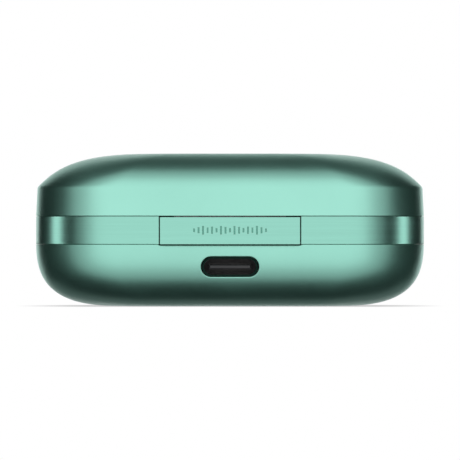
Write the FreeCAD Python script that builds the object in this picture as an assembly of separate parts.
"""Wireless earbuds charging case: a pebble-shaped clamshell with a lid, a lower shell, a metal band
round the middle, a hinge plate in the back of the band and a USB-C port under it.

Frame: millimetres, +Z up, origin at the centre of the flat underside. The hinge side faces -Y and
the opening side faces +Y. The lid is closed. Each file in parts/ is one piece.
"""
import FreeCAD, Part
import math
import os

V = FreeCAD.Vector
os.makedirs("parts", exist_ok=True)

# ---------------------------------------------------------------- driving dimensions
HALF_X = 31.3            # half length, left to right
HALF_Y = 23.5            # half depth, front to back
CORNER_R = 13.0          # plan corner radius of the band and walls
Z_BASE_TOP = 9.98        # top edge of the lower shell
Z_BAND_BOTTOM = 10.03    # visible band
Z_BAND_TOP = 14.50
Z_LID_BOTTOM = 14.63     # lower edge of the lid
Z_CREASE = 19.2          # crease where the lid wall meets the dome
Z_TOP = 24.6             # top of the lid
LID_DRAFT = 0.23         # how far the lid wall leans in between its lower edge and the crease
LID_WALL = 1.2
BASE_WALL = 1.3
BAND_WALL = 1.2

# Profiles of the dome and tub: cubic curves from the wall to the flat end. Each tuple holds the
# four control points' inward reach at the left and right ends (side), the same at the front and
# back (back), and distance from the wall's edge (rise). shrink is the corner radius lost per mm
# of side reach.
DOME_RISE = Z_TOP - Z_CREASE
DOME = dict(side=(0.0, 2.73, 6.08, 17.64), back=(0.0, 0.35, 2.55, 7.88),
            rise=(0.0, 2.81, DOME_RISE, DOME_RISE), shrink=0.30)
TUB = dict(side=(0.0, 0.0, 1.654, 12.70), back=(0.0, 0.48, 2.34, 13.91),
           rise=(0.0, 5.00, Z_BASE_TOP, Z_BASE_TOP), shrink=0.35)
LOFT_STEPS = [0.0, 0.08, 0.16, 0.25, 0.34, 0.43, 0.52, 0.61, 0.70, 0.79, 0.88, 0.95, 1.0]
INNER_SLACK = 0.5        # extra inward reach of an inner skin at its flat end

# hinge axis and the pieces round it
AXIS_IN, AXIS_DOWN = 2.6, 3.4            # in from the back face, below the band's top
AXIS_Y = -HALF_Y + AXIS_IN
AXIS_Z = Z_BAND_TOP - AXIS_DOWN
SWEEP_R = math.hypot(AXIS_IN, AXIS_DOWN)  # from the axis to the band's top rear edge
PIN_R, PIN_HALF = 0.60, 10.9
KNUCKLE_R, KNUCKLE_IN = 1.50, 6.6
ARM_HALF = 9.0                           # half width of the lid arm
WEB_Y0, WEB_Y1 = 4.72, 5.82              # web of the C-shaped arm, from the axis
WEB_BOTTOM = -1.10
FLANGE_Z0, FLANGE_Z1 = 4.92, 5.92        # flange of the arm, from the axis
ARM_SCREW_X, ARM_SCREW_Y = 5.4, AXIS_Y + 2.6
EAR_IN, EAR_OUT = 9.2, 10.8
BRACKET_BOTTOM = 2.50                    # below the axis
BRACKET_SCREW_X, BRACKET_SCREW_Y = 7.9, -16.6
PLATE_HALF, PLATE_T = 11.25, 0.80        # outer hinge plate
PLATE_Z0, PLATE_Z1 = 10.09, 14.42

# closing magnets, either side of the middle of the front rim
MAGNET_X, MAGNET_HALF = 4.4, 3.0

# tray and earbud pockets; the right-hand pocket is drawn and mirrored
Z_TRAY = 14.30                           # top face of the tray
TRAY_T = 1.20
Z_JOIN = Z_TRAY - 0.5                    # top of the bodies that hang from the tray's plate
TRAY_INSET = BAND_WALL + 0.10
HEAD_X, HEAD_Y = 16.6, -3.5              # centre of the earbud head pocket
HEAD_R, HEAD_BOTTOM = 9.0, 5.20
STEM_X, STEM_Y = 13.2, 15.6              # centre of the rounded end of the stem trough
STEM_R, STEM_BOTTOM = 3.8, 8.00
POCKET_WALL = 1.00
STEM_DX, STEM_DY = STEM_X - HEAD_X, STEM_Y - HEAD_Y
STEM_LEN = math.hypot(STEM_DX, STEM_DY)
STEM_UX, STEM_UY = STEM_DX / STEM_LEN, STEM_DY / STEM_LEN
STEM_ANGLE = math.degrees(math.atan2(STEM_DY, STEM_DX))

# charging pins: two per earbud, spaced along the stem
PIN_SPACING, PIN_MID_Y = 3.2, 12.2
PLUNGER_R, BARREL_R = 0.45, 0.95
PIN_XY = []
for step in (-0.5, 0.5):
    along = (PIN_MID_Y - HEAD_Y) / STEM_UY + step * PIN_SPACING
    PIN_XY.append((HEAD_X + STEM_UX * along, HEAD_Y + STEM_UY * along))

# pairing button and its board
BUTTON_Y, BUTTON_W, BUTTON_D = -1.5, 6.0, 3.0
Z_BUTTON_TOP = 14.55
BUTTON_BOARD_HALF = 5.9
BUTTON_SCREW_X, BUTTON_SCREW_Y = 5.32, BUTTON_Y - 0.5

# main board, USB-C port and indicator
BOARD_Z, BOARD_T = 4.00, 0.80
BOARD_SCREW_X, BOARD_SCREW_Y = 14.0, -17.4
USB_Z = 6.40
PORT_W, PORT_H = 9.26, 3.24              # opening in the lower shell
USB_W, USB_H, USB_T = 8.94, 3.16, 0.28   # metal shell of the receptacle
USB_Y0, USB_Y1 = -21.80, -14.90          # mouth and rear of the receptacle
TONGUE_W, TONGUE_T, TONGUE_Y = 6.69, 0.70, -21.35
PEG_X, PEG_Y = 4.2, 18.4                 # pegs for the indicator board
LIGHT_Z = 7.6


# ---------------------------------------------------------------- helpers
def save(name, piece, mirrored=False):
    """Write one piece, given as a shape or a list of shapes."""
    shapes = piece if isinstance(piece, list) else [piece]
    if mirrored:
        shapes = [mirror_x(shape) for shape in shapes]
    solids = Part.makeCompound(shapes).Solids
    result = solids[0] if len(solids) == 1 else Part.makeCompound(solids)
    result.exportStep(os.path.join("parts", name + ".step"))


def mirror_x(shape):
    return shape.mirror(V(0, 0, 0), V(1, 0, 0))


def spans(inner, outer):
    """The X ranges from inner to outer on the left and on the right."""
    return (-outer, -inner), (inner, outer)


def rounded_rect(half_x, half_y, r, z, cy=0.0):
    """Rounded rectangle wire at height z."""
    ex, ey = half_x - r, half_y - r

    def point(x, y):
        return V(x, cy + y, z)

    def corner(x, y, start):
        angles = [math.radians(start + turn) for turn in (0, 45, 90)]
        ends = [point(x + r * math.cos(a), y + r * math.sin(a)) for a in angles]
        return Part.Arc(*ends).toShape()

    return Part.Wire([
        Part.makeLine(point(half_x, -ey), point(half_x, ey)), corner(ex, ey, 0),
        Part.makeLine(point(ex, half_y), point(-ex, half_y)), corner(-ex, ey, 90),
        Part.makeLine(point(-half_x, ey), point(-half_x, -ey)), corner(-ex, -ey, 180),
        Part.makeLine(point(-ex, -half_y), point(ex, -half_y)), corner(ex, -ey, 270)])


def prism(half_x, half_y, r, z0, z1, cy=0.0):
    return Part.Face(rounded_rect(half_x, half_y, r, z0, cy)).extrude(V(0, 0, z1 - z0))


def rim(inset, z):
    """The case's plan outline, moved inwards by inset."""
    return rounded_rect(HALF_X - inset, HALF_Y - inset, CORNER_R - inset, z)


def rim_prism(inset, z0, z1):
    return Part.Face(rim(inset, z0)).extrude(V(0, 0, z1 - z0))


def taper(wire0, wire1):
    return Part.makeLoft([wire0, wire1], True, True)


def bezier(c, t):
    u = 1.0 - t
    return u * u * u * c[0] + 3 * u * u * t * c[1] + 3 * u * t * t * c[2] + t * t * t * c[3]


def skin(half_x, half_y, r, z0, sign, side, back, rise, shrink, inset=0.0):
    """Solid from the wall outline at z0 to the flat end of a dome (sign 1) or tub (sign -1).
    inset moves the outline inwards and takes the same off the height, for an inner skin."""
    slack = INNER_SLACK if inset > 0 else 0.0
    scale_side = (side[3] - inset + slack) / side[3]
    scale_back = (back[3] - inset + slack) / back[3]
    scale_z = (rise[3] - inset) / rise[3]
    wires = []
    for t in LOFT_STEPS:
        reach = bezier(side, t)
        wires.append(rounded_rect(half_x - inset - scale_side * reach,
                                  half_y - inset - scale_back * bezier(back, t),
                                  r - inset - shrink * reach,
                                  z0 + sign * scale_z * bezier(rise, t)))
    return Part.makeLoft(wires, True, False)


def box(x0, x1, y0, y1, z0, z1):
    return Part.makeBox(x1 - x0, y1 - y0, z1 - z0, V(x0, y0, z0))


def slab(half, y0, y1, z0, z1, x=0.0):
    """Box that reaches half to either side of x."""
    return box(x - half, x + half, y0, y1, z0, z1)


def cyl(r, start, direction, length):
    return Part.makeCylinder(r, length, V(*start), V(*direction))


def cyl_z(r, x, y, z, height):
    return cyl(r, (x, y, z), (0, 0, 1), height)


def hinge_cyl(r, x0, x1):
    """Cylinder about the hinge axis."""
    return cyl(r, (x0, AXIS_Y, AXIS_Z), (1, 0, 0), x1 - x0)


def drill_pair(shape, r, x, y, z, depth):
    """Cut upright holes at -x and x."""
    for hole_x in (-x, x):
        shape = shape.cut(cyl_z(r, hole_x, y, z, depth))
    return shape


def pill(width, height, point, sweep):
    """Stadium section, placed by point(u, v) and extruded along sweep."""
    r = height / 2.0
    a = width / 2.0 - r
    edges = [Part.makeLine(point(-a, r), point(a, r)),
             Part.Arc(point(a, r), point(a + r, 0), point(a, -r)).toShape(),
             Part.makeLine(point(a, -r), point(-a, -r)),
             Part.Arc(point(-a, -r), point(-a - r, 0), point(-a, r)).toShape()]
    return Part.Face(Part.Wire(edges)).extrude(sweep)


def pill_y(width, height, y0, y1, z):
    return pill(width, height, lambda u, v: V(u, y0, z + v), V(0, y1 - y0, 0))


def pill_z(width, depth, z0, z1, y):
    return pill(width, depth, lambda u, v: V(u, y + v, z0), V(0, 0, z1 - z0))


def yz_prism(points, x0, x1):
    """Polygon given as (y, z) pairs, extruded along X."""
    corners = [V(x0, y, z) for y, z in points]
    corners.append(corners[0])
    return Part.Face(Part.makePolygon(corners)).extrude(V(x1 - x0, 0, 0))


def from_axis(points):
    """Turn (y, z) pairs measured from the hinge axis into case coordinates."""
    return [(AXIS_Y + y, AXIS_Z + z) for y, z in points]


def ellipsoid(y, z, rx, ry, rz):
    matrix = FreeCAD.Matrix()
    matrix.scale(V(rx, ry, rz))
    shape = Part.makeSphere(1.0).transformGeometry(matrix)
    shape.translate(V(0, y, z))
    return shape


def edges_at(shape, **place):
    """Edges whose centre has the given coordinates."""
    return [e for e in shape.Edges
            if all(abs(getattr(e.CenterOfMass, axis) - value) < 1e-6
                   for axis, value in place.items())]


def round_upright(shape, r):
    """Fillet the upright edges of a box."""
    upright = [e for e in shape.Edges if abs(e.Vertexes[0].Z - e.Vertexes[1].Z) > 1e-6]
    return shape.makeFillet(r, upright)


def cut_cross(shape, x, y, half_l, half_w, z0, z1):
    shape = shape.cut(box(x - half_l, x + half_l, y - half_w, y + half_w, z0, z1))
    return shape.cut(box(x - half_w, x + half_w, y - half_l, y + half_l, z0, z1))


def pan_screw(x, y, seat, point, shank_r, shank_l, head_r, head_h):
    """Pan-head screw with a cross recess. seat is the z under the head; the shank points up
    if point is 1 and down if it is -1."""
    face = seat - point * head_h
    shank = cyl(shank_r, (x, y, seat), (0, 0, point), shank_l)
    head = cyl(head_r, (x, y, seat), (0, 0, -point), head_h)
    head = head.makeFillet(head_h * 0.45, edges_at(head, z=face))
    z0, z1 = sorted((face, face + point * head_h * 0.55))
    screw = cut_cross(shank.fuse(head), x, y, head_r * 1.15 / 2, head_r * 0.28 / 2,
                      z0 - 0.01, z1 + 0.01)
    return screw.removeSplitter()


def flat_screw(x, y, z):
    """Countersunk screw pointing up; its head's flat face is at z."""
    screw = cyl_z(0.50, x, y, z, 3.4).fuse(Part.makeCone(1.24, 0.50, 0.60, V(x, y, z)))
    return cut_cross(screw, x, y, 0.75, 0.17, z - 0.01, z + 0.30).removeSplitter()


def ring_stack(count, pitch, mean_r, wire_r, start, direction):
    """Close-wound coil drawn as rings along an axis."""
    axis = V(*direction)
    coil = None
    for i in range(count):
        ring = Part.makeTorus(mean_r, wire_r, V(*start) + axis * (pitch * i), axis)
        coil = ring if coil is None else coil.fuse(ring)
    return coil


# ================================================================ LID
def lid_dome(inset=0.0):
    return skin(HALF_X - LID_DRAFT, HALF_Y - LID_DRAFT, CORNER_R - LID_DRAFT, Z_CREASE, 1,
                inset=inset, **DOME)


def lid_inner(extra, z_from):
    """Space inside the lid, extra mm inside its inner skin, from z_from up."""
    inset = LID_WALL + extra
    wall = taper(rim(inset, z_from), rim(LID_DRAFT + inset, Z_CREASE))
    return wall.fuse(lid_dome(inset)).removeSplitter()


def rear_bevel(reach):
    """Relief under the lid's rear edge, so that the edge swings clear of the band."""
    start, slope = 0.12, 0.80
    bevel = taper(rim(start, Z_LID_BOTTOM - 0.001),
                  rim(start + reach, Z_LID_BOTTOM + reach * slope))
    return bevel.common(slab(40, -30, -9.0, 0, 30))


def lid_shell():
    wall = taper(rim(0.0, Z_LID_BOTTOM), rim(LID_DRAFT, Z_CREASE))
    shell = wall.fuse(lid_dome()).removeSplitter()
    shell = shell.cut(lid_inner(0.0, Z_LID_BOTTOM - 1.0))
    shell = shell.cut(rear_bevel(2.0))
    # thumb scoop in the middle of the front edge
    return shell.cut(ellipsoid(HALF_Y + 0.35, Z_LID_BOTTOM - 0.15, 9.0, 1.15, 2.1))


def lid_liner():
    """Inner moulding of the lid."""
    half_x, half_y, r, z = 27.4, 18.4, 9.4, 18.6
    lower = taper(rounded_rect(28.0, 18.9, 9.6, 15.0), rounded_rect(half_x, half_y, r, z))
    upper = skin(half_x, half_y, r, z, 1, side=(0, 0.6, 2.2, 8.0), back=(0, 0.4, 1.6, 6.6),
                 rise=(0, 1.6, 3.5, 3.5), shrink=0.25)
    recess = lower.fuse(upper)
    recess.translate(V(0, -0.35, 0))
    # leave a block of material over the hinge
    recess = recess.cut(slab(10.9, -22.5, -13.4, 15.0, 22.4))
    liner = lid_inner(0.10, 15.10).cut(recess)
    liner = liner.cut(hinge_cyl(SWEEP_R + 0.18, -40, 40))
    liner = liner.cut(rear_bevel(3.0))
    # seat for the hinge arm's flange, and its screw holes
    liner = liner.cut(slab(ARM_HALF + 0.12, -22.6, AXIS_Y + 5.95,
                           14.0, AXIS_Z + FLANGE_Z1 + 0.04))
    liner = drill_pair(liner, 0.52, ARM_SCREW_X, ARM_SCREW_Y, 16.0, 4.2)
    # pockets for the closing magnets, open at the top
    for x in (-MAGNET_X, MAGNET_X):
        liner = liner.cut(slab(MAGNET_HALF + 0.1, 19.35, 21.25, 15.7, 26.0, x))
    # flat top
    return liner.cut(slab(40, -30, 30, 22.9, 30))


def lid_magnets():
    return [slab(MAGNET_HALF, 19.4, 21.2, 15.75, 17.95, x) for x in (-MAGNET_X, MAGNET_X)]


def lid_foam_pad():
    return prism(12.5, 9.5, 4.0, 22.95, 23.35)


# ================================================================ HINGE
def hinge_arm():
    """C-shaped arm that moves with the lid."""
    arm = yz_prism(from_axis([(WEB_Y0, WEB_BOTTOM), (WEB_Y1, WEB_BOTTOM), (WEB_Y1, FLANGE_Z1),
                              (-0.6, FLANGE_Z1), (-0.6, FLANGE_Z0), (WEB_Y0, FLANGE_Z0)]),
                   -ARM_HALF, ARM_HALF)
    # round the outside and inside of the bend
    for r, y, z in ((1.0, WEB_Y1, FLANGE_Z1), (0.5, WEB_Y0, FLANGE_Z0)):
        arm = arm.makeFillet(r, edges_at(arm, x=0, y=AXIS_Y + y, z=AXIS_Z + z))
    # foot and knuckle at each side
    for x0, x1 in spans(KNUCKLE_IN, ARM_HALF):
        foot = yz_prism(from_axis([(0.0, WEB_BOTTOM), (WEB_Y1 - 0.2, WEB_BOTTOM),
                                   (WEB_Y1 - 0.2, 0.30), (0.0, 0.30)]), x0, x1)
        arm = arm.fuse(foot).fuse(hinge_cyl(KNUCKLE_R, x0, x1))
    arm = arm.cut(hinge_cyl(PIN_R + 0.05, -12, 12))
    # countersunk screw holes
    for x in (-ARM_SCREW_X, ARM_SCREW_X):
        arm = arm.cut(cyl_z(0.72, x, ARM_SCREW_Y, 15.0, 4.0))
        arm = arm.cut(Part.makeCone(1.32, 0.72, 0.5,
                                    V(x, ARM_SCREW_Y, AXIS_Z + FLANGE_Z0 - 0.001)))
    return arm.removeSplitter()


def hinge_arm_screws():
    return [flat_screw(x, ARM_SCREW_Y, AXIS_Z + FLANGE_Z0 + 0.02)
            for x in (-ARM_SCREW_X, ARM_SCREW_X)]


def hinge_bracket():
    """Fixed side of the hinge: a floor plate with an ear at each end."""
    ear = from_axis([(-0.10, -BRACKET_BOTTOM), (2.6, -BRACKET_BOTTOM), (2.6, -0.6), (1.50, 1.0),
                     (0.9, 1.55), (-0.9, 1.55), (-1.78, 1.0), (-1.78, -1.04), (-0.10, -1.04)])
    bracket = slab(EAR_OUT, -21.0, -14.9, AXIS_Z - BRACKET_BOTTOM, AXIS_Z - 1.70)
    for x0, x1 in spans(EAR_IN, EAR_OUT):
        bracket = bracket.fuse(yz_prism(ear, x0, x1))
    bracket = bracket.cut(hinge_cyl(PIN_R + 0.02, -12, 12))
    bracket = drill_pair(bracket, 0.66, BRACKET_SCREW_X, BRACKET_SCREW_Y, 8.0, 3.0)
    return bracket.removeSplitter()


def hinge_bracket_screws():
    return [pan_screw(x, BRACKET_SCREW_Y, AXIS_Z - 1.68, -1,
                      shank_r=0.50, shank_l=2.6, head_r=1.10, head_h=0.55)
            for x in (-BRACKET_SCREW_X, BRACKET_SCREW_X)]


def hinge_pin():
    pin = hinge_cyl(PIN_R, -PIN_HALF, PIN_HALF)
    return pin.makeChamfer(0.12, [e for e in pin.Edges if e.Closed])


def hinge_spring():
    """Torsion spring round the pin: one leg runs down to the bracket, one along to the arm."""
    mean_r, pitch, count = 1.02, 0.27, 14
    leg_r, leg_y, leg_drop = 0.14, 2.6, 0.48
    x_in = 1.3
    x_out = x_in + pitch * (count - 1)
    coil = ring_stack(count, pitch, mean_r, 0.15, (x_in, AXIS_Y, AXIS_Z), (1, 0, 0))
    bracket_leg = cyl(leg_r, (x_in, AXIS_Y + 0.02, AXIS_Z - mean_r), (0, leg_y, -leg_drop),
                      math.hypot(leg_y, leg_drop))
    arm_leg = cyl(leg_r, (x_out, AXIS_Y + 0.02, AXIS_Z + mean_r), (0, 1, 0), WEB_Y0 - 0.06)
    return coil.fuse(bracket_leg).fuse(arm_leg)


# heights of the marks engraved in the hinge plate, along X
MARKS = (0.5, 0.9, 1.3, 0.8, 1.1, 0.6, 1.3, 1.0, 0.6, 1.3, 1.0, 0.6, 1.1, 0.8, 1.3, 0.9, 0.5)
MARK_PITCH, MARK_HALF_W, MARK_DEPTH, MARK_Z = 0.72, 0.11, 0.05, 12.26


def hinge_plate():
    plate = slab(PLATE_HALF, -HALF_Y, -HALF_Y + PLATE_T, PLATE_Z0, PLATE_Z1)
    plate = plate.makeFillet(0.08, edges_at(plate, y=-HALF_Y))
    for i, height in enumerate(MARKS):
        x = (i - (len(MARKS) - 1) / 2.0) * MARK_PITCH
        plate = plate.cut(slab(MARK_HALF_W, -HALF_Y - 0.01, -HALF_Y + MARK_DEPTH,
                               MARK_Z - height / 2, MARK_Z + height / 2, x))
    return plate


# ================================================================ BAND AND LOWER SHELL
def mid_band():
    """Visible band with a skirt that reaches down inside the lower shell."""
    band = rim_prism(0.0, Z_BAND_BOTTOM, Z_BAND_TOP)
    band = band.cut(rim_prism(BAND_WALL, Z_BAND_BOTTOM - 1, Z_BAND_TOP + 1))
    skirt_top = 10.60
    skirt = rim_prism(BASE_WALL - 0.2, Z_BAND_BOTTOM, skirt_top)
    skirt = skirt.fuse(prism(HALF_X - BASE_WALL - 0.10, HALF_Y - BASE_WALL - 0.35,
                             CORNER_R - BASE_WALL - 0.10, 8.40, skirt_top))
    skirt = skirt.cut(rim_prism(BASE_WALL + 1.1, 8.0, 11.0))
    band = band.fuse(skirt).removeSplitter()
    # notch for the hinge plate
    return band.cut(slab(PLATE_HALF + 0.13, -30, -20.5, 9.42, 16.0))


def tub(inset=0.0):
    return skin(HALF_X, HALF_Y, CORNER_R, Z_BASE_TOP, -1, inset=inset, **TUB)


def base_shell():
    outer = tub()
    inner = tub(BASE_WALL).fuse(rim_prism(BASE_WALL, Z_BASE_TOP, Z_BASE_TOP + 1))
    shell = outer.cut(inner)
    # bosses for the main board's screws
    boss_z, hole_z, boss_top = 0.6, 2.0, BOARD_Z - 0.02
    for x in (-BOARD_SCREW_X, BOARD_SCREW_X):
        boss = cyl_z(1.75, x, BOARD_SCREW_Y, boss_z, boss_top - boss_z)
        shell = shell.fuse(boss.common(outer))
    # posts with pegs for the indicator board
    for x in (-PEG_X, PEG_X):
        post = cyl_z(0.85, x, PEG_Y, 0.6, 5.18).fuse(cyl_z(0.38, x, PEG_Y, 5.0, 1.7))
        shell = shell.fuse(post.common(outer))
    # ribs that locate the cell
    rib_in, rib_out = 6.6, 7.4
    ribs = [box(x0, x1, -9.0, 13.0, 0.8, 4.2) for x0, x1 in spans(rib_in, rib_out)]
    ribs.append(slab(rib_in, -11.2, -10.4, 0.8, 3.6))
    for rib in ribs:
        shell = shell.fuse(rib.common(outer))
    shell = drill_pair(shell, 0.52, BOARD_SCREW_X, BOARD_SCREW_Y, hole_z, boss_top - hole_z + 1)
    # USB-C port at the back, light window at the front
    shell = shell.cut(pill_y(PORT_W, PORT_H, -HALF_Y - 1, -19.0, USB_Z))
    shell = shell.cut(pill_y(3.1, 1.1, 20.0, 26.0, LIGHT_Z))
    return shell.removeSplitter()


# ================================================================ TRAY
LIP_HEIGHT = 0.62        # raised lip that stands inside the lid's edge
MOUTH_R = 0.55           # rounding of the pocket mouths
HEAD_MAGNET_R = 3.0


def bowl(r, bottom, top, fillet):
    shape = cyl_z(r, HEAD_X, HEAD_Y, bottom, top - bottom)
    return shape.makeFillet(fillet, edges_at(shape, z=bottom))


def turn_to_stem(shape, x, y, z):
    """Turn a shape drawn along +X at the origin to the stem's direction, then move it."""
    shape.rotate(V(0, 0, 0), V(0, 0, 1), STEM_ANGLE)
    shape.translate(V(x, y, z))
    return shape


def trough(r, bottom, top):
    """Round-bottomed channel from the head pocket to the stem's end."""
    z = bottom + r
    channel = cyl(r, (HEAD_X, HEAD_Y, z), (STEM_UX, STEM_UY, 0), STEM_LEN)
    channel = channel.fuse(Part.makeSphere(r, V(STEM_X, STEM_Y, z)))
    upper = Part.makeBox(STEM_LEN, 2 * r, top - z, V(0, -r, 0))
    channel = channel.fuse(turn_to_stem(upper, HEAD_X, HEAD_Y, z))
    return channel.fuse(cyl_z(r, STEM_X, STEM_Y, z, top - z))


def stem_outline(r, z):
    edges = [Part.makeLine(V(0, -r, z), V(STEM_LEN, -r, z)),
             Part.Arc(V(STEM_LEN, -r, z), V(STEM_LEN + r, 0, z), V(STEM_LEN, r, z)).toShape(),
             Part.makeLine(V(STEM_LEN, r, z), V(0, r, z)),
             Part.Arc(V(0, r, z), V(-r, 0, z), V(0, -r, z)).toShape()]
    return turn_to_stem(Part.Wire(edges), HEAD_X, HEAD_Y, 0)


def mouths():
    """Cutters that open the head pocket and stem trough out in a rounded lip at the top."""
    head_wires, stem_wires = [], []
    for k in range(7):
        a = math.radians(90.0 * k / 6)
        grow = MOUTH_R - MOUTH_R * math.cos(a)
        z = Z_TRAY - MOUTH_R + MOUTH_R * math.sin(a)
        head_wires.append(Part.Wire([Part.makeCircle(HEAD_R + grow, V(HEAD_X, HEAD_Y, z))]))
        stem_wires.append(stem_outline(STEM_R + grow, z))
    return Part.makeLoft(head_wires, True, True), Part.makeLoft(stem_wires, True, True)


def pocket_outer():
    """Walls of the right-hand pocket, with a ring below for its magnet."""
    head = bowl(HEAD_R + POCKET_WALL, HEAD_BOTTOM - POCKET_WALL, Z_JOIN, 6.0)
    stem = trough(STEM_R + POCKET_WALL, STEM_BOTTOM - POCKET_WALL, Z_JOIN)
    stem = stem.common(slab(40, -40, 40, 0, Z_JOIN))
    return head.fuse(stem).fuse(cyl_z(4.0, HEAD_X, HEAD_Y, 2.75, 2.2))


def pocket_inner():
    """Hollow of the right-hand pocket."""
    head = bowl(HEAD_R, HEAD_BOTTOM, Z_TRAY + 1.0, 5.2)
    stem = trough(STEM_R, STEM_BOTTOM, Z_TRAY + 1.0)
    head_mouth, stem_mouth = mouths()
    return head.fuse(stem).fuse(head_mouth).fuse(stem_mouth)


def tray_supports():
    """Bosses under the hinge well, button board ledges and front magnet seats."""
    bosses = [cyl_z(1.5, x, BRACKET_SCREW_Y, 5.75, 2.6)
              for x in (-BRACKET_SCREW_X, BRACKET_SCREW_X)]
    ledges = [box(x0, x1, BUTTON_Y - 4.6, BUTTON_Y + 3.6, 10.85, Z_JOIN)
              for x0, x1 in spans(4.75, BUTTON_BOARD_HALF)]
    seats = [slab(MAGNET_HALF + 0.6, 18.5, 21.4, 11.0, Z_JOIN, x).cut(
                 slab(MAGNET_HALF + 0.05, 19.10, 21.0, 10.5, 13.0, x))
             for x in (-MAGNET_X, MAGNET_X)]
    return bosses + ledges + seats


def earbud_tray():
    tray = rim_prism(TRAY_INSET, 10.63, Z_TRAY)
    tray = tray.cut(rim_prism(TRAY_INSET + 1.0, 10.0, Z_TRAY - TRAY_T))
    lip = rim_prism(1.30, Z_TRAY - 0.3, Z_TRAY + LIP_HEIGHT)
    tray = tray.fuse(lip.cut(rim_prism(2.05, Z_TRAY - 1, Z_TRAY + LIP_HEIGHT + 1)))

    outer, inner = pocket_outer(), pocket_inner()
    # hinge well: floor and walls round the hinge
    well_outer = slab(11.9, -21.05, -13.75, 8.04, Z_JOIN)
    well_inner = slab(11.05, -24.0, -14.60, AXIS_Z - BRACKET_BOTTOM - 0.02, Z_TRAY + 1.0)
    tray = tray.fuse(outer).fuse(mirror_x(outer)).fuse(well_outer)
    for support in tray_supports():
        tray = tray.fuse(support)
    tray = tray.cut(inner).cut(mirror_x(inner)).cut(well_inner)
    # open the back behind the hinge
    tray = tray.cut(slab(11.6, -30, -21.15, 8.0, 20.0))
    magnet_hole = cyl_z(HEAD_MAGNET_R + 0.05, HEAD_X, HEAD_Y, 2.0, 2.15)
    tray = tray.cut(magnet_hole).cut(mirror_x(magnet_hole))
    # screw holes for the bracket and the button board
    tray = drill_pair(tray, 0.52, BRACKET_SCREW_X, BRACKET_SCREW_Y, 6.3, 3.0)
    tray = drill_pair(tray, 0.32, BUTTON_SCREW_X, BUTTON_SCREW_Y, 10.0, 2.5)
    # button opening
    tray = tray.cut(pill_z(BUTTON_W + 0.24, BUTTON_D + 0.24, 10.0, 16.0, BUTTON_Y))
    # stepped holes for the charging pins
    for pin_x, y in PIN_XY:
        for x in (pin_x, -pin_x):
            tray = tray.cut(cyl_z(PLUNGER_R + 0.07, x, y, 5.0, 4.0))
            tray = tray.cut(cyl_z(BARREL_R + 0.06, x, y, 5.0, 2.30))
    return tray.removeSplitter()


def rim_magnets():
    return [slab(MAGNET_HALF, 19.15, 20.95, 10.75, 12.95, x) for x in (-MAGNET_X, MAGNET_X)]


def head_magnets():
    return [cyl_z(HEAD_MAGNET_R, x, HEAD_Y, 2.55, 1.55) for x in (-HEAD_X, HEAD_X)]


def rim_bumpers():
    return [cyl_z(0.9, x, 15.2, Z_TRAY + 0.02, 0.62) for x in (-22.6, 22.6)]


# ================================================================ CHARGING PINS (right-hand pair)
COLLAR_R = 0.66
Z_COLLAR, Z_SHANK, Z_TIP = 6.25, 6.90, 8.82   # plunger: collar's foot, shank's foot, round tip


def pin_block():
    block = round_upright(slab(3.6, -1.7, 1.7, 4.30, 6.90), 0.3)
    mid_x = sum(x for x, y in PIN_XY) / 2
    mid_y = sum(y for x, y in PIN_XY) / 2
    block = turn_to_stem(block, mid_x, mid_y, 0)
    for x, y in PIN_XY:
        block = block.cut(cyl_z(BARREL_R + 0.02, x, y, 4.0, 3.0))
    return block


def pin_barrels():
    return [cyl_z(BARREL_R, x, y, 4.35, 2.85).cut(cyl_z(0.72, x, y, 4.60, 2.40)).cut(
                cyl_z(PLUNGER_R + 0.04, x, y, Z_SHANK, 0.5))
            for x, y in PIN_XY]


def charge_pins():
    """Plungers, turned from a profile of collar, shank and round tip."""
    r = PLUNGER_R
    diagonal = r * math.sqrt(0.5)
    z_round = Z_TIP - r
    profile = [V(0, 0, Z_TIP), V(0, 0, Z_COLLAR), V(COLLAR_R, 0, Z_COLLAR),
               V(COLLAR_R, 0, Z_SHANK), V(r, 0, Z_SHANK), V(r, 0, z_round)]
    lines = [Part.makeLine(a, b) for a, b in zip(profile, profile[1:])]
    tip = Part.Arc(profile[-1], V(diagonal, 0, z_round + diagonal), profile[0]).toShape()
    face = Part.Face(Part.Wire(lines[1:] + [tip, lines[0]]))
    pins = []
    for x, y in PIN_XY:
        pin = face.revolve(V(0, 0, 0), V(0, 0, 1), 360)
        pin.translate(V(x, y, 0))
        pins.append(pin)
    return pins


def pin_springs():
    return [ring_stack(11, 0.13, 0.50, 0.07, (x, y, 4.80), (0, 0, 1)) for x, y in PIN_XY]


# ================================================================ PAIRING BUTTON
def pairing_button():
    button = pill_z(BUTTON_W, BUTTON_D, 12.30, Z_BUTTON_TOP, BUTTON_Y)
    button = button.makeFillet(0.25, edges_at(button, z=Z_BUTTON_TOP))
    flange = pill_z(BUTTON_W + 1.4, BUTTON_D + 1.4, 12.25, 12.95, BUTTON_Y)
    button = button.fuse(flange).fuse(cyl_z(0.8, 0, BUTTON_Y, 11.90, 0.5))
    # shallow dish in the top
    button = button.cut(ellipsoid(BUTTON_Y, Z_BUTTON_TOP + 0.35, 2.3, 0.95, 0.5))
    return button.removeSplitter()


def tact_switch():
    switch = round_upright(slab(1.7, BUTTON_Y - 1.7, BUTTON_Y + 1.7, 10.84, 11.50), 0.25)
    return switch.cut(cyl_z(0.80, 0, BUTTON_Y, 11.12, 1.0))


def switch_plunger():
    return cyl_z(0.70, 0, BUTTON_Y, 11.42, 0.46)


def button_board():
    board = slab(BUTTON_BOARD_HALF, BUTTON_Y - 4.4, BUTTON_Y + 3.4, 10.42, 10.82)
    board = round_upright(board, 0.6)
    return drill_pair(board, 0.36, BUTTON_SCREW_X, BUTTON_SCREW_Y, 10.0, 2.0)


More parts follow.
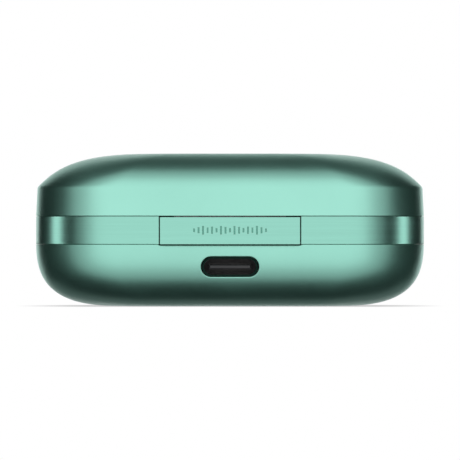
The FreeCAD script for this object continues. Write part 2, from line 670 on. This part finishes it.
def button_board_screws():
    return [pan_screw(x, BUTTON_SCREW_Y, 10.40, 1,
                      shank_r=0.30, shank_l=1.9, head_r=0.55, head_h=0.28)
            for x in (-BUTTON_SCREW_X, BUTTON_SCREW_X)]


# ================================================================ MAIN BOARD AND USB-C RECEPTACLE
# x, y, width, depth, height of each component on the main board
CHIPS = (
    (-8.6, -15.2, 3.0, 3.0, 0.75), (8.4, -15.4, 3.5, 2.5, 0.80), (-8.3, -18.2, 2.0, 1.6, 0.6),
    (8.6, -18.0, 2.5, 2.0, 0.8), (-11.4, -15.3, 1.0, 0.5, 0.45), (-11.4, -16.4, 1.0, 0.5, 0.45),
    (11.4, -15.0, 1.0, 0.5, 0.45), (11.4, -18.6, 1.0, 0.5, 0.45), (6.0, -18.6, 1.0, 0.5, 0.45),
)


def main_board():
    board = prism(16.5, 3.20, 1.2, BOARD_Z, BOARD_Z + BOARD_T, cy=-16.0)
    return drill_pair(board, 0.75, BOARD_SCREW_X, BOARD_SCREW_Y, 3.0, 3.0)


def board_screws():
    return [pan_screw(x, BOARD_SCREW_Y, BOARD_Z + BOARD_T + 0.02, -1,
                      shank_r=0.50, shank_l=2.3, head_r=1.25, head_h=0.60)
            for x in (-BOARD_SCREW_X, BOARD_SCREW_X)]


def chip(x, y, width, depth, height):
    z = BOARD_Z + BOARD_T + 0.01
    return slab(width / 2, y - depth / 2, y + depth / 2, z, z + height, x)


def board_chips():
    return [chip(*row) for row in CHIPS]


def cell_socket():
    return chip(0, -13.7, 4.2, 1.5, 1.1)


def usb_shell():
    outer = pill_y(USB_W, USB_H, USB_Y0, USB_Y1, USB_Z)
    return outer.cut(pill_y(USB_W - 2 * USB_T, USB_H - 2 * USB_T, USB_Y0 - 1, USB_Y1 + 1, USB_Z))


def usb_contacts():
    """Two rows of twelve contacts, sunk flush in the tongue's faces."""
    contacts = []
    for i in range(12):
        for side in (-1, 1):
            face = USB_Z + side * TONGUE_T / 2
            z0, z1 = sorted((face, face - side * 0.06))
            contacts.append(slab(0.125, -20.95, -18.42, z0, z1, (i - 5.5) * 0.5))
    return contacts


def usb_tongue():
    core = pill_y(USB_W - 2 * USB_T - 0.04, USB_H - 2 * USB_T - 0.04, -17.2, -14.95, USB_Z)
    tongue = slab(TONGUE_W / 2, TONGUE_Y, -17.0, USB_Z - TONGUE_T / 2, USB_Z + TONGUE_T / 2)
    tongue = tongue.makeChamfer(0.16, edges_at(tongue, y=TONGUE_Y))
    root = slab(TONGUE_W / 2 + 0.1, -18.4, -17.0, USB_Z - 0.62, USB_Z + 0.62)
    body = core.fuse(tongue).fuse(root)
    for contact in usb_contacts():
        body = body.cut(contact)
    return body.removeSplitter()


# ================================================================ CELL AND CABLES
# x, y, z of the right-hand cell lead, from the socket to the cell
LEAD_PATH = ((0.9, -12.85, 5.3), (1.0, -12.1, 5.5), (1.5, -11.2, 6.3), (1.8, -10.4, 7.0),
             (1.8, -9.70, 7.1))
# y, z of the flex cable's underside, from the main board to the pin block
FLEX_PATH = [(-13.2, 4.98), (-12.2, 4.98), (-11.2, 4.2), (-10.2, 2.6), (-9.2, 2.2),
             (6.6, 2.2), (8.0, 2.6), (9.2, 3.9), (10.2, 4.16), (13.6, 4.16)]
FLEX_T, FLEX_X0, FLEX_X1 = 0.12, 8.9, 10.5


def lipo_cell():
    cell = slab(6.0, -9.6, 15.4, 1.75, 10.10)
    return cell.makeFillet(1.1, cell.Edges)


def cell_foam():
    return prism(5.2, 8.9, 1.0, 1.36, 1.70, cy=1.5)


def cell_leads():
    leads = []
    for side in (-1, 1):
        points = [V(side * x, y, z) for x, y, z in LEAD_PATH]
        curve = Part.BSplineCurve()
        curve.interpolate(points)
        tangent = curve.tangent(curve.FirstParameter)[0]
        section = Part.Wire([Part.makeCircle(0.30, points[0], tangent)])
        leads.append(Part.Wire([curve.toShape()]).makePipeShell([section], True, True))
    return leads


def flex():
    """Right-hand flex cable, laid along the floor beside the cell rib, with a tab at its end."""
    top = [(y, z + FLEX_T) for y, z in FLEX_PATH]
    strip = yz_prism(FLEX_PATH + top[::-1], FLEX_X0, FLEX_X1)
    end_y, end_z = FLEX_PATH[-1]
    tab = box(FLEX_X1 - 0.01, 15.6, 10.1, end_y, end_z, end_z + FLEX_T)
    return strip.fuse(tab).removeSplitter()


# ================================================================ INDICATOR
def indicator_board():
    board = slab(5.0, 16.2, 20.6, 5.80, 6.40)
    return drill_pair(board, 0.42, PEG_X, PEG_Y, 5.0, 3.0)


def status_led():
    return slab(0.8, 19.9, 20.5, 6.42, 7.9)


def hall_sensor():
    return box(1.4, 3.0, 16.5, 17.6, 6.42, 7.1)


def light_guide():
    """Guide trimmed to the lower shell's outer surface, with a flange at its inner end."""
    limit = tub().fuse(slab(5, 10, 21.0, 5, 9.5))
    guide = pill_y(3.0, 1.0, 20.7, 26.0, LIGHT_Z).common(limit)
    return guide.fuse(pill_y(4.0, 1.5, 20.62, 21.25, LIGHT_Z)).removeSplitter()


# ================================================================ OUTPUT
# each file takes its function's name
PIECES = (
    lid_shell, lid_liner, lid_magnets, lid_foam_pad,
    hinge_arm, hinge_arm_screws, hinge_bracket, hinge_bracket_screws, hinge_pin, hinge_plate,
    mid_band, base_shell, earbud_tray, rim_magnets, head_magnets, rim_bumpers,
    pairing_button, tact_switch, switch_plunger, button_board, button_board_screws,
    main_board, board_screws, board_chips, cell_socket, usb_shell, usb_tongue, usb_contacts,
    lipo_cell, cell_foam, cell_leads, indicator_board, status_led, hall_sensor, light_guide,
)
# drawn on the right and mirrored to the left
PAIRED_PIECES = (hinge_spring, pin_block, pin_barrels, charge_pins, pin_springs, flex)

for piece in PIECES:
    save(piece.__name__, piece())
for piece in PAIRED_PIECES:
    built = piece()
    save(piece.__name__ + "_right", built)
    save(piece.__name__ + "_left", built, mirrored=True)
